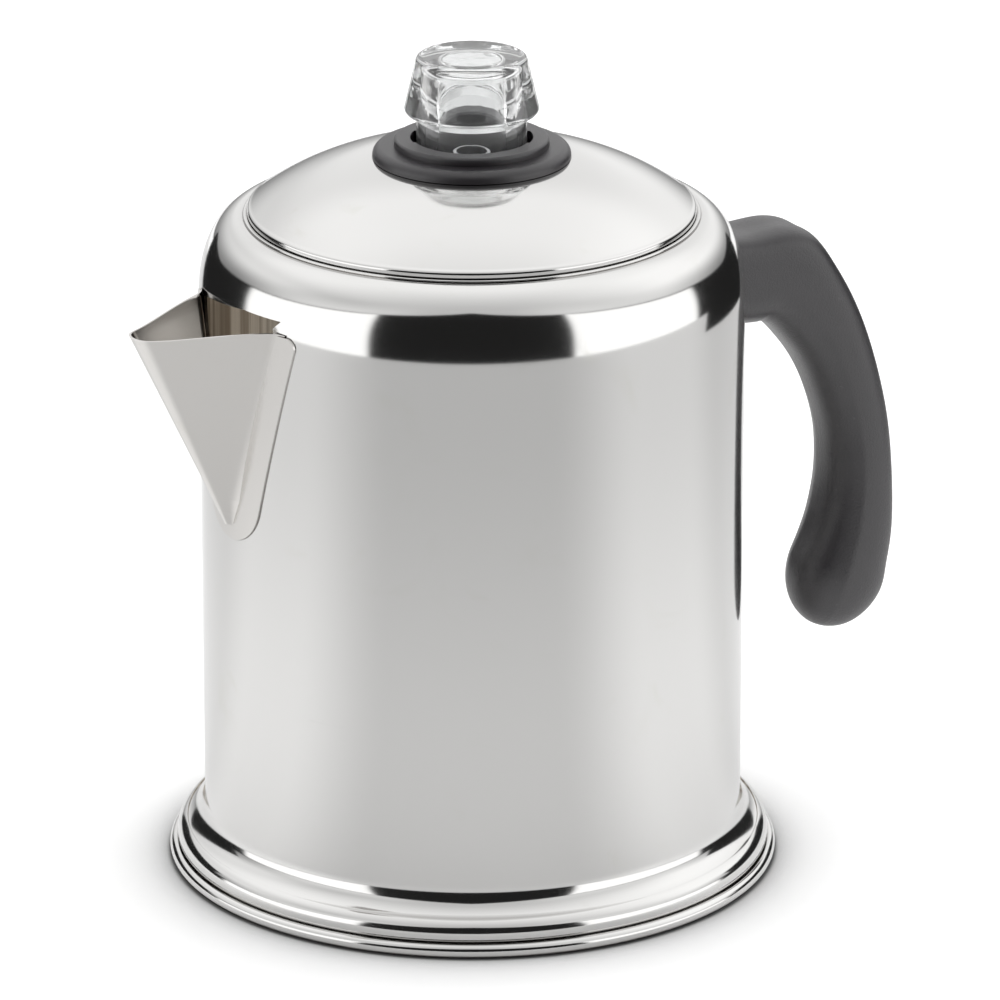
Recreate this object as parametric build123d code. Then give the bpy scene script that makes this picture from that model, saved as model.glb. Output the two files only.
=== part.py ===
from build123d import *
import os
from math import acos, atan2, copysign, cos, degrees, hypot, pi, radians, sin, sqrt, tan

# Stovetop coffee percolator of 8 cups. Millimetres, +Z up.
# Origin: centre of the base on the surface the pot stands on. The handle points along +X,
# the spout along -X, and XZ is the plane of symmetry of the pot.

os.makedirs("parts", exist_ok=True)

# ---------- driving dimensions ----------
SHEET = 0.8                    # stainless sheet of the pot, the spout and the lid
THIN_SHEET = 0.6               # stainless sheet of the basket, the spreader and the pump base
BODY_R = 71.0                  # outside of the cylindrical wall
WALL_TOP = 154.0               # where the shoulder starts to turn in
SHOULDER_R = 59.3              # outside of the neck ring
SHOULDER_TOP = 175.6
SHOULDER_POWER = 2.15          # superellipse exponent of the shoulder
NECK_TOP = 176.2
NECK_BORE_R = 57.7
NECK_ROUND = 0.3
OVER = 5.0                     # how far cutters run past the faces they cut
ABOVE_ALL = 260.0

# Base: rolled bead of the flared skirt, clad floor and its cap
FILLET_R = 7.5                 # concave sweep between wall and skirt
FILLET_TOP = 16.2
BEAD_CENTRE_R = 74.1
BEAD_CENTRE_Z = 5.5
BEAD_R = 4.3
BEAD_START = -20.0             # degrees below horizontal where the rolled bead ends
FLOOR_Z = 4.0                  # underside of the pot's inner floor
FLOOR_R = 77.1
WELL_R = 30.0                  # ring pressed in the floor that centres the pump base
WELL_RING_R = 1.0
CAP_RIM_R = 80.4               # largest radius of the base cap's rolled rim
CAP_BEAD_R = 1.84
HEAT_DISC_R = 72.5
CAP_WALL_R = 75.3
HEAT_DISC_CHAMFER = 0.6

# Spout: folded sheet, a straight nose line and two flat cheeks
SPOUT_SHEET = 0.6
SPOUT_HALF_ANGLE = 27.5        # cheek to centre plane, seen from above
SPOUT_STATIONS = ((158.4, 99.5, 6.0), (110.2, 76.4, 1.7), (103.0, 73.0, 0.9))  # height, nose, nose radius
# radius and height along the pouring edge
SPOUT_RIM_WAVE = ((102.0, 157.9), (92.0, 157.7), (83.0, 158.6), (75.0, 159.3), (60.0, 159.2))
LAP_SHEET = 0.5                # the lap is pressed thinner than the cheeks
LAP_TOP_Z = 159.1
LAP_TOP_HALF = 27.2            # the lap that is soldered to the wall, half width at the rim
LAP_BOTTOM_HALF = 10.4
LAP_BOTTOM_Z = 99.0
LAP_BOTTOM_ROUND = 13.4
LAP_CORNER_ROUND = 2.8
CHEEK_BEND_R = 3.0             # between each cheek and the lap
CHEEK_ROOT_INSET = 8.0         # how far the cheeks run into the wall before they are trimmed
RIM_RISE = 3.0                 # extra height of the body above the rim, cut off along the wave
LEAST_NOSE_R = 0.25
SIDE_PRISM = 35.0              # depth of the prisms that make the mouth and the lap
MOUTH_TOP_EDGE = ((-20.7, 162.6), (-6.0, 162.2), (12.0, 159.9), (19.6, 158.6))  # hand-trimmed, lower on +Y
MOUTH_NEAR_EDGE = ((-17.2, 150.0), (-19.0, 158.4), (-18.2, 160.2))
MOUTH_BOTTOM_Z = 112.0
MOUTH_BOTTOM_HALF = 3.6
MOUTH_BOTTOM_ROUND = 2.9

# Handle: arm at the top only, grip hanging free. Stations run from the wall to the free end:
# centre radius, centre height, direction of travel (degrees), half depth, half width, squareness,
# crown (how far the outer face falls from its middle to its edges)
HANDLE_STATIONS = (
    (68.0, 146.8, 0.0, 13.3, 11.0, 6.5, 4.6),
    (82.0, 145.9, 0.0, 12.8, 11.0, 6.2, 4.6),
    (91.1, 145.6, -25.3, 13.7, 11.0, 5.2, 4.2),
    (98.8, 139.0, -40.8, 12.1, 10.8, 3.7, 2.4),
    (108.9, 123.1, -62.4, 10.4, 10.4, 2.6, 0.8),
    (115.8, 103.0, -81.2, 9.7, 10.0, 2.3, 0.0),
    (117.6, 86.0, -97.7, 10.3, 10.6, 2.2, 0.0),
    (116.4, 71.0, -103.6, 11.9, 11.2, 2.2, 0.0),
    (112.7, 57.8, -109.6, 14.0, 11.5, 2.1, 0.0),
)
BULB_CAP_LENGTH = 16.2         # rounded end beyond the last station
BULB_CAP_STEPS = (0.45, 0.75, 0.92, 0.985)
HANDLE_GAP = 0.3               # between the arm's end and the wall

# Handle bracket and its screw
PAD_HALF_WIDTH = 8.0
PAD_BOTTOM_Z = 137.5
PAD_TOP_Z = 157.0
PAD_THICKNESS = 1.2
TONGUE_BOTTOM_Z = 139.0
TONGUE_THICKNESS = 3.0
TONGUE_HALF_WIDTH = 6.0
TONGUE_END_X = 90.0
WEB_TOP_Z = 154.0
WEB_THICKNESS = 2.5
SOCKET_GAP = 0.3
SCREW_X = 83.0
SCREW_R = 2.0
SCREW_HEAD_R = 3.6
SCREW_HEAD_HEIGHT = 2.2
SCREW_HEAD_ROUND = 1.2
SCREW_REACH = 1.5              # of the shank above the tongue
DRIVE_LENGTH = 4.4
DRIVE_WIDTH = 1.0
DRIVE_DEPTH = 1.2
WASHER_R = 4.0
WASHER_THICKNESS = 0.6
COUNTERBORE_R = 4.4
COUNTERBORE_TOP_Z = 136.4
SCREW_GAP = 0.1
SCREW_WAY_GAP = 0.2            # round the shank, in the handle
SCREW_WAY_RISE = 2.0           # above the tongue
PAD_BLOCK = 20.0

# Lid
LID_R = 58.2
LID_RIM_BOTTOM = 176.5
LID_EDGE_Z = 177.2             # where the upright rim ends and its rounded edge begins
LID_EDGE_FALL = 0.4            # share of the sheet by which the inner edge starts lower
LID_DOME_CENTRE = (16.1, 120.95)  # radius and height of the centre of the dome's arc
LID_DOME_START_R = 57.4        # outer end of the dome's arc
LID_DOME_START_Z = 178.22
LID_HOLE_R = 18.3
SKIRT_R = 57.2
SKIRT_BOTTOM = 167.5
SKIRT_HEM_R = 0.9
SKIRT_OVERLAP = 3.0            # of the skirt into the dome before it is trimmed

# Knob collar
COLLAR_R = 25.7
COLLAR_FLANGE_Z = 189.5        # underside of the flange before it is fitted to the lid
COLLAR_SIDE_TOP_Z = 191.9
COLLAR_EDGE_MIDDLE = (24.95, 193.35)
COLLAR_EDGE_END = (23.4, 194.0)
COLLAR_STEP_Z = 194.1
COLLAR_STEP_R = 20.1
COLLAR_TOP_Z = 196.2
COLLAR_TOP_ROUND = 0.8
COLLAR_BORE_R = 14.8
COLLAR_BORE_CHAMFER = 0.5
COLLAR_FOOT_R = 25.1           # outside of this the collar's foot is relieved from the lid
COLLAR_RELIEF_Z = 191.05
NOTCH_TURN = 150.0             # degrees about Z where the lugs can pass
COLLAR_TUBE_R = 18.0
COLLAR_TUBE_BOTTOM = 187.4
COLLAR_LIP_R = 19.2
COLLAR_LIP_EDGE = 0.4
COLLAR_LIP_HEIGHT = 1.1
RETAINER_R = 22.5
RETAINER_THICKNESS = 0.7
RETAINER_LIFT = 1.0            # of its outer edge above its inner edge
RETAINER_GAP = 0.05

# Knob: hollow, with bayonet lugs under the collar
KNOB_TOP_Z = 218.2
KNOB_TOP_R = 14.2
KNOB_EDGE_ROUND = 1.6
KNOB_EDGE_MIDDLE = (13.95, 217.75)
KNOB_WAIST_Z = 204.4           # widest level
KNOB_R = 17.4
KNOB_FLANGE_R = 16.2
KNOB_FLANGE_MIDDLE = (17.15, 203.4)
KNOB_CHAMFER_Z = 202.9
KNOB_NECK_TOP = 201.2
KNOB_NECK_R = 14.3
KNOB_BOTTOM = 184.2
KNOB_END_CHAMFER = 0.4
KNOB_BORE_R = 8.8
KNOB_ROOF = 4.0
KNOB_BORE_ROUND = 1.6
LUG_R = 15.7
LUG_HEIGHT = 2.2
LUG_ANGLE = 36.0
LUG_GAP = 0.15                 # between the lugs and the collar's lower end
NOTCH_GAP = 0.2
NOTCH_EXTRA_ANGLE = 4.0

# Pump: tube, bell, valve
TUBE_R = 4.75
TUBE_WALL = 0.7
TUBE_BOTTOM = 18.5
TUBE_TOP = 193.0
SEAT_RING_R = 7.2
SEAT_RING_TOP = 111.4
SEAT_RING_HEIGHT = 3.0
SEAT_RING_ROUND = 0.9
BELL_FOOT_R = 27.0
BELL_FOOT_EDGE = 0.8
BELL_CHAMBER_R = 13.0
BELL_CHAMBER_FOOT = 9.4
BELL_CHAMBER_TOP = 14.0
BELL_THROAT_Z = 19.9
BELL_TOP = 29.0
CAGE_Z = 9.8
CAGE_HOLE_R = 2.0
CAGE_HOLE_CIRCLE = 8.2
CAGE_HOLES = 6
VALVE_R = 7.0
VALVE_BORE_R = 1.6
VALVE_THICKNESS = 0.8
VALVE_GAP = 0.05

# Coffee basket and spreader
BASKET_R = 50.0
BASKET_BOTTOM = 111.6
BASKET_TOP = 158.0
BASKET_RIM_R = 1.3
BASKET_CORNER_R = 4.0
SLEEVE_BORE_R = 5.25
SLEEVE_WALL = 0.6
SLEEVE_TOP = 154.0
SLEEVE_FOOT_R = 9.25
BASKET_RINGS = ((12.0, 14), (20.0, 22), (28.0, 30), (36.0, 38), (43.5, 46))   # circle, holes
BASKET_HOLE_R = 0.9
SPREADER_R = 50.6
SPREADER_BOTTOM = 159.5
SPREADER_DISH = 4.0
SPREADER_BORE_GAP = 0.3
SPREADER_BORE_BEND = 1.5
SPREADER_RIM_BEND = 2.0
SPREADER_RINGS = ((17.0, 12), (26.0, 18), (35.0, 26), (42.5, 32))
SPREADER_HOLE_R = 1.1


# ---------- shape helpers ----------
def turned(outline):
    """Solid of revolution about Z from a closed outline given as (radius, height) edges."""
    return revolve(Plane.XZ * make_face(outline), Axis.Z)


def turned_polygon(*points):
    return turned(Polyline(*points, close=True))


def turned_sheet(path, thickness):
    """Sheet of revolution. The path is its outer surface, and the sheet lies on the path's left."""
    outline = Wire(path.edges()).offset_2d(thickness, side=Side.LEFT, closed=True)
    return turned(outline.edges())


def turned_between(surface, thickness):
    """Sheet of revolution between surface(0) and surface(thickness), two outlines of the same shape."""
    outer, inner = surface(0), surface(thickness)
    ends = [Line(outer @ 0, inner @ 0), Line(outer @ 1, inner @ 1)]
    return turned(outer.edges() + inner.edges() + [end.edge() for end in ends])


def ring(inner, outer, bottom, top):
    return turned_polygon((inner, bottom), (outer, bottom), (outer, top), (inner, top))


def drum(radius, bottom, top):
    return Pos(0, 0, bottom) * Cylinder(radius, top - bottom, align=(Align.CENTER, Align.CENTER, Align.MIN))


def core(radius):
    """Cutter through the whole height."""
    return drum(radius, -OVER, ABOVE_ALL)


def side_prism(outline):
    """Prism along X through the wall on the spout's side, from an outline in (y, z)."""
    plane = Plane(origin=(-BODY_R - OVER, 0, 0), x_dir=(0, 1, 0), z_dir=(1, 0, 0))
    return extrude(plane * outline, SIDE_PRISM, dir=(1, 0, 0))


def around(count, circle, shape):
    """Copies of a shape spread evenly on a circle about Z."""
    turn = 360 / count
    return [Rot(0, 0, turn * i) * Pos(circle, 0, 0) * shape for i in range(count)]


def save(shape, node):
    shape.label = node
    export_step(shape, f"parts/{node}.step")


# ---------- pot body ----------
def shoulder_points(inset, steps=8):
    """Superellipse quarter from the wall's top to the neck ring."""
    width, height = BODY_R - SHOULDER_R, SHOULDER_TOP - WALL_TOP - inset
    power = 2 / SHOULDER_POWER
    turns = [pi / 2 * i / steps for i in range(steps + 1)]
    return [(SHOULDER_R - inset + width * max(cos(t), 0) ** power, WALL_TOP + height * sin(t) ** power)
            for t in turns]


def bead_point(angle, radius):
    return (BEAD_CENTRE_R + radius * cos(radians(angle)), BEAD_CENTRE_Z + radius * sin(radians(angle)))


def fillet_point(angle, radius):
    """Point on the concave sweep, where the surface normal is tilted up by the angle."""
    centre = BODY_R + FILLET_R
    return (centre - radius * cos(radians(angle)), FILLET_TOP - radius * sin(radians(angle)))


def skirt_tilt():
    """Tilt at which one straight slope is tangent to both the bead and the concave sweep."""
    across = BODY_R + FILLET_R - BEAD_CENTRE_R
    up = FILLET_TOP - BEAD_CENTRE_Z
    return degrees(atan2(up, across) - acos(min((FILLET_R + BEAD_R) / hypot(across, up), 1)))


def pot_surface(inset):
    """Outline of the pot from the rolled bead up to the neck, moved into the sheet by the inset."""
    tilt = skirt_tilt()
    bead, sweep = BEAD_R - inset, FILLET_R + inset
    shoulder = shoulder_points(inset)
    return Wire([
        ThreePointArc(bead_point(BEAD_START, bead), bead_point((BEAD_START + tilt) / 2, bead),
                      bead_point(tilt, bead)).edge(),
        Line(bead_point(tilt, bead), fillet_point(tilt, sweep)).edge(),
        ThreePointArc(fillet_point(tilt, sweep), fillet_point(tilt / 2, sweep),
                      fillet_point(0, sweep)).edge(),
        Line(fillet_point(0, sweep), shoulder[0]).edge(),
        Spline(*shoulder, tangents=[(0, 1), (-1, 0)]).edge(),
    ])


def make_pot_shell():
    shell = turned_between(pot_surface, SHEET)
    neck = ring(NECK_BORE_R, SHOULDER_R, SHOULDER_TOP - SHEET, NECK_TOP)
    neck = fillet(neck.edges().group_by(Axis.Z)[-1], NECK_ROUND)
    mouth = Polygon(
        *MOUTH_TOP_EDGE,
        (-MOUTH_NEAR_EDGE[0][0], MOUTH_NEAR_EDGE[0][1]),
        (MOUTH_BOTTOM_HALF, MOUTH_BOTTOM_Z),
        (-MOUTH_BOTTOM_HALF, MOUTH_BOTTOM_Z),
        *MOUTH_NEAR_EDGE,
        align=None,
    )
    mouth = fillet(mouth.vertices().group_by(Axis.Y)[0], MOUTH_BOTTOM_ROUND)
    return shell + neck - side_prism(mouth)


def make_pot_floor():
    plate = drum(FLOOR_R, FLOOR_Z, FLOOR_Z + SHEET)
    well = turned(Pos(WELL_R, FLOOR_Z + SHEET, 0) * CenterArc((0, 0), WELL_RING_R, 0, 180)
                  + Line((WELL_R - WELL_RING_R, FLOOR_Z + SHEET), (WELL_R + WELL_RING_R, FLOOR_Z + SHEET)))
    return plate + well


def make_heat_disc():
    return chamfer(drum(HEAT_DISC_R, SHEET, FLOOR_Z).edges().group_by(Axis.Z)[0], HEAT_DISC_CHAMFER)


def make_base_cap():
    bead_centre = CAP_RIM_R - CAP_BEAD_R
    plate = drum(bead_centre, 0, SHEET)
    bead = turned((Pos(bead_centre, CAP_BEAD_R, 0) * Circle(CAP_BEAD_R)).edges())
    wall = ring(CAP_WALL_R - SHEET, CAP_WALL_R, SHEET / 2, FLOOR_Z)
    return plate + bead + wall


# ---------- spout ----------
def spout_section(height, nose, radius, inset):
    """Horizontal section: two cheeks meeting in a rounded nose, each bent outward where it joins the lap."""
    half = radians(SPOUT_HALF_ANGLE)
    radius = max(radius - inset, LEAST_NOSE_R)
    centre = nose - inset - radius
    touch = Vector(-(centre + radius * sin(half)), radius * cos(half))
    along = Vector(cos(half), sin(half))
    wall = BODY_R + LAP_SHEET / 2
    reach = touch.dot(along)
    length = -reach - sqrt(reach * reach - touch.dot(touch) + wall * wall)
    root = touch + along * length
    bend = min(CHEEK_BEND_R, 0.6 * length)
    on_cheek = root - along * bend
    turn = atan2(root.Y, -root.X) + bend / wall
    on_lap = Vector(-wall * cos(turn), wall * sin(turn))
    between = (on_cheek + root * 2 + on_lap) * 0.25
    back = Vector(-(BODY_R - CHEEK_ROOT_INSET), on_lap.Y)

    def mirrored(point):
        return Vector(point.X, -point.Y)

    near = [mirrored(point) for point in (touch, on_cheek, between, on_lap, back)]
    outline = Curve() + [
        Line(back, on_lap),
        ThreePointArc(on_lap, between, on_cheek),
        Line(on_cheek, touch),
        ThreePointArc(touch, (-(centre + radius), 0), near[0]),
        Line(near[0], near[1]),
        ThreePointArc(near[1], near[2], near[3]),
        Line(near[3], near[4]),
        Line(near[4], back),
    ]
    return Pos(0, 0, height) * make_face(outline)


def spout_body(inset, rise):
    """Tapering body; rise carries the top section straight on along the nose line."""
    top, middle, bottom = SPOUT_STATIONS
    grow = rise / (top[0] - middle[0])
    raised = tuple(t + (t - m) * grow for t, m in zip(top, middle))
    stations = [raised, middle, bottom]
    return loft([spout_section(*station, inset) for station in stations], ruled=True)


def below_rim():
    """Everything under the wavy pouring edge, which is the same on both cheeks."""
    wave = Spline(*[(-radius, height) for radius, height in SPOUT_RIM_WAVE])
    (far, _), (near, _) = SPOUT_RIM_WAVE[0], SPOUT_RIM_WAVE[-1]
    rest = Polyline(wave @ 1, (-near, 0), (-far, 0), wave @ 0)
    return extrude(Plane.XZ * make_face(wave.edges() + rest.edges()), BODY_R, both=True)


def make_spout():
    lap = Polygon(
        (LAP_TOP_HALF, LAP_TOP_Z),
        (-LAP_TOP_HALF, LAP_TOP_Z),
        (-LAP_BOTTOM_HALF, LAP_BOTTOM_Z),
        (LAP_BOTTOM_HALF, LAP_BOTTOM_Z),
        align=None,
    )
    lap = fillet(lap.vertices().group_by(Axis.Y)[0], LAP_BOTTOM_ROUND)
    lap = fillet(lap.vertices().group_by(Axis.Y)[-1], LAP_CORNER_ROUND)
    patch = side_prism(lap) & ring(BODY_R, BODY_R + LAP_SHEET, LAP_BOTTOM_Z - OVER, LAP_TOP_Z + OVER)
    outer = (spout_body(0, RIM_RISE) & below_rim()) - core(BODY_R)
    return outer + patch - spout_body(SPOUT_SHEET, RIM_RISE + 2)


# ---------- handle ----------
def handle_section(x, z, travel, depth, width, power, crown, steps=5):
    """Rounded section across the direction of travel, from squarish (arm) to round (grip)."""
    turn = radians(travel)
    plane = Plane(origin=(x, 0, z), x_dir=(0, 1, 0), z_dir=(-cos(turn), 0, -sin(turn)))

    def point(angle):
        ahead, aside = round(sin(radians(angle)), 9), round(cos(radians(angle)), 9)
        across = copysign(width * abs(aside) ** (2 / power), aside)
        out = copysign(depth * abs(ahead) ** (2 / power), ahead)
        return (across, out - crown * (across / width) ** 2 if ahead > 0 else out)

    def quarter(start):
        """Quarter of the section between the middles of two sides, where the outline's direction is known."""
        points = [point(start + 90 * i / steps) for i in range(steps + 1)]
        ends = [(-round(sin(radians(a))), round(cos(radians(a)))) for a in (start, start + 90)]
        return Spline(*points, tangents=ends).edge()

    return plane * make_face([quarter(start) for start in (0, 90, 180, 270)])


def smooth_stations(steps=3):
    """The handle's stations with further ones between them, on a smooth curve through all their values."""
    marks = [0.0]
    for (x0, z0, *_), (x1, z1, *_) in zip(HANDLE_STATIONS, HANDLE_STATIONS[1:]):
        marks.append(marks[-1] + hypot(x1 - x0, z1 - z0))
    last = len(marks) - 1

    def slope(i, column):
        before, after = max(i - 1, 0), min(i + 1, last)
        rise = HANDLE_STATIONS[after][column] - HANDLE_STATIONS[before][column]
        return rise / (marks[after] - marks[before])

    def value(i, share, column):
        start, end = HANDLE_STATIONS[i][column], HANDLE_STATIONS[i + 1][column]
        span = marks[i + 1] - marks[i]
        ease = share * share * (3 - 2 * share)
        leave = share * (1 - share) ** 2 * span * slope(i, column)
        arrive = share * share * (1 - share) * span * slope(i + 1, column)
        return start + (end - start) * ease + leave - arrive

    columns = range(len(HANDLE_STATIONS[0]))
    found = [tuple(value(i, step / steps, column) for column in columns)
             for i in range(last) for step in range(steps)]
    return found + [HANDLE_STATIONS[-1]]


def handle_sections():
    sections = [handle_section(*station) for station in smooth_stations()]
    x, z, travel, depth, width, power, crown = HANDLE_STATIONS[-1]
    for share in BULB_CAP_STEPS:
        ahead = BULB_CAP_LENGTH * share
        shrink = sqrt(1 - share * share)
        turn = radians(travel)
        sections.append(handle_section(x + ahead * cos(turn), z + ahead * sin(turn), travel,
                                       depth * shrink, width * shrink, power, crown))
    return sections


def arm_socket(gap):
    """Space that the bracket's tongue and web take inside the arm, grown by a gap."""
    length = TONGUE_END_X + gap - BODY_R
    middle = BODY_R + length / 2
    tongue = Pos(middle, 0, TONGUE_BOTTOM_Z + TONGUE_THICKNESS / 2) * Box(
        length, 2 * (TONGUE_HALF_WIDTH + gap), TONGUE_THICKNESS + 2 * gap)
    web_height = WEB_TOP_Z - TONGUE_BOTTOM_Z
    web = Pos(middle, 0, TONGUE_BOTTOM_Z + web_height / 2) * Box(
        length, WEB_THICKNESS + 2 * gap, web_height + 2 * gap)
    return tongue + web


def weld_pad(gap):
    height = PAD_TOP_Z - PAD_BOTTOM_Z + 2 * gap
    middle = (PAD_TOP_Z + PAD_BOTTOM_Z) / 2
    block = Pos(BODY_R, 0, middle) * Box(PAD_BLOCK, 2 * (PAD_HALF_WIDTH + gap), height)
    return block & ring(BODY_R, BODY_R + PAD_THICKNESS + gap, PAD_BOTTOM_Z - OVER, PAD_TOP_Z + OVER)


def make_handle():
    body = loft(handle_sections())
    under_arm = COUNTERBORE_TOP_Z - 3 * OVER
    way_top = TONGUE_BOTTOM_Z + TONGUE_THICKNESS + SCREW_WAY_RISE
    screw_way = Pos(SCREW_X, 0, 0) * (drum(SCREW_R + SCREW_WAY_GAP, under_arm, way_top)
                                      + drum(COUNTERBORE_R, under_arm, COUNTERBORE_TOP_Z))
    return body - core(BODY_R + HANDLE_GAP) - arm_socket(SOCKET_GAP) - weld_pad(SOCKET_GAP) - screw_way


def make_handle_bracket():
    tongue_top = TONGUE_BOTTOM_Z + TONGUE_THICKNESS
    tapped = Pos(SCREW_X, 0, 0) * drum(SCREW_R, TONGUE_BOTTOM_Z - OVER, tongue_top + OVER)
    return weld_pad(0) + (arm_socket(0) - core(BODY_R + PAD_THICKNESS / 2)) - tapped


def make_handle_screw():
    head_top = COUNTERBORE_TOP_Z - WASHER_THICKNESS - SCREW_GAP
    head = drum(SCREW_HEAD_R, head_top - SCREW_HEAD_HEIGHT, head_top)
    head = fillet(head.edges().group_by(Axis.Z)[0], SCREW_HEAD_ROUND)
    shank = drum(SCREW_R - SCREW_GAP / 2, head_top, TONGUE_BOTTOM_Z + TONGUE_THICKNESS + SCREW_REACH)
    slot = Box(DRIVE_LENGTH, DRIVE_WIDTH, 2 * DRIVE_DEPTH)
    drive = Pos(0, 0, head_top - SCREW_HEAD_HEIGHT) * (slot + Rot(0, 0, 90) * slot)
    return Pos(SCREW_X, 0, 0) * (head + shank - drive)


def make_handle_washer():
    top = COUNTERBORE_TOP_Z - SCREW_GAP / 2
    return Pos(SCREW_X, 0, 0) * ring(SCREW_R + 0.1, WASHER_R, top - WASHER_THICKNESS, top)


# ---------- lid ----------
def lid_surface(inset):
    """Outline of the lid from its rim to the hole for the collar, moved into the sheet by the inset."""
    centre_r, centre_z = LID_DOME_CENTRE
    radius = hypot(LID_DOME_START_R - centre_r, LID_DOME_START_Z - centre_z)

    def dome(r):
        """Point on the dome's arc, for a radius on its outer surface."""
        angle = acos((r - centre_r) / radius)
        return (centre_r + (radius - inset) * cos(angle), centre_z + (radius - inset) * sin(angle))

    def dome_at(r):
        """Point on the inset arc at a given radius."""
        return (r, centre_z + sqrt((radius - inset) ** 2 - (r - centre_r) ** 2))

    rim = LID_R - inset
    edge = (rim, LID_EDGE_Z - inset * LID_EDGE_FALL)
    start = dome(LID_DOME_START_R)
    hole = dome_at(LID_HOLE_R)
    middle = dome_at((start[0] + LID_HOLE_R) / 2)
    return Wire([
        Line((rim, LID_RIM_BOTTOM), edge).edge(),
        TangentArc(edge, start, tangent=(0, 1)).edge(),
        ThreePointArc(start, middle, hole).edge(),
    ])


def beyond_lid(inset, side):
    """Everything on one side (+1 above, -1 below) of the lid's outer (0) or inner (SHEET) surface."""
    surface = lid_surface(inset)
    start, end = surface @ 0, surface @ 1
    level = LID_RIM_BOTTOM + side * LID_R
    rest = Polyline((end.X, end.Y), (0, end.Y), (0, level), (start.X, level), (start.X, start.Y))
    return turned(surface.edges() + rest.edges())


def make_lid_dome():
    return turned_between(lid_surface, SHEET)


def make_lid_skirt():
    wall = ring(SKIRT_R - SHEET, SKIRT_R, SKIRT_BOTTOM, LID_DOME_START_Z + SKIRT_OVERLAP)
    hem_centre = SKIRT_R - SKIRT_HEM_R
    hem = turned((Pos(hem_centre, SKIRT_BOTTOM, 0) * Circle(SKIRT_HEM_R)).edges())
    return wall + hem - beyond_lid(SHEET, 1)


def make_knob_collar():
    step_side_top = COLLAR_TOP_Z - COLLAR_TOP_ROUND
    top_end = COLLAR_STEP_R - COLLAR_TOP_ROUND
    bevel = COLLAR_TOP_ROUND * (1 - sqrt(0.5))
    outline = Curve() + [
        Polyline((COLLAR_BORE_R, COLLAR_TUBE_BOTTOM), (COLLAR_LIP_R, COLLAR_TUBE_BOTTOM),
                 (COLLAR_LIP_R, COLLAR_TUBE_BOTTOM + COLLAR_LIP_EDGE),
                 (COLLAR_TUBE_R, COLLAR_TUBE_BOTTOM + COLLAR_LIP_HEIGHT), (COLLAR_TUBE_R, COLLAR_FLANGE_Z),
                 (COLLAR_R, COLLAR_FLANGE_Z), (COLLAR_R, COLLAR_SIDE_TOP_Z)),
        ThreePointArc((COLLAR_R, COLLAR_SIDE_TOP_Z), COLLAR_EDGE_MIDDLE, COLLAR_EDGE_END),
        Polyline(COLLAR_EDGE_END, (COLLAR_STEP_R, COLLAR_STEP_Z), (COLLAR_STEP_R, step_side_top)),
        ThreePointArc((COLLAR_STEP_R, step_side_top), (COLLAR_STEP_R - bevel, COLLAR_TOP_Z - bevel),
                      (top_end, COLLAR_TOP_Z)),
        Polyline((top_end, COLLAR_TOP_Z), (COLLAR_BORE_R + COLLAR_BORE_CHAMFER, COLLAR_TOP_Z),
                 (COLLAR_BORE_R, COLLAR_TOP_Z - COLLAR_BORE_CHAMFER), (COLLAR_BORE_R, COLLAR_TUBE_BOTTOM)),
    ]
    body = turned(outline.edges())
    beneath = beyond_lid(0, -1) - core(LID_HOLE_R)
    way = lug_pair(LUG_R + NOTCH_GAP, COLLAR_TOP_Z - COLLAR_TUBE_BOTTOM + OVER, LUG_ANGLE + NOTCH_EXTRA_ANGLE)
    notch = Pos(0, 0, COLLAR_TUBE_BOTTOM - OVER / 2) * way
    relief = ring(COLLAR_FOOT_R, COLLAR_R + OVER, LID_RIM_BOTTOM, COLLAR_RELIEF_Z)
    return body - beneath - relief - Rot(0, 0, NOTCH_TURN) * notch


def make_collar_retainer():
    bottom = COLLAR_TUBE_BOTTOM + COLLAR_LIP_HEIGHT + RETAINER_GAP
    bore = COLLAR_TUBE_R + 2 * RETAINER_GAP
    edge = bottom + RETAINER_LIFT
    return turned_polygon((bore, bottom), (RETAINER_R, edge), (RETAINER_R, edge + RETAINER_THICKNESS),
                          (bore, bottom + RETAINER_THICKNESS))


# ---------- knob ----------
def lug_pair(radius, height, angle):
    """Two opposite sectors, centred on the X axis, standing on z = 0."""
    half = radians(angle / 2)
    reach = radius + OVER
    wedge = Polygon((0, 0), (reach, -reach * tan(half)), (reach, reach * tan(half)), align=None)
    sector = extrude(wedge, height)
    disc = drum(radius, 0, height)
    return (sector + Rot(0, 0, 180) * sector) & disc


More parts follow.
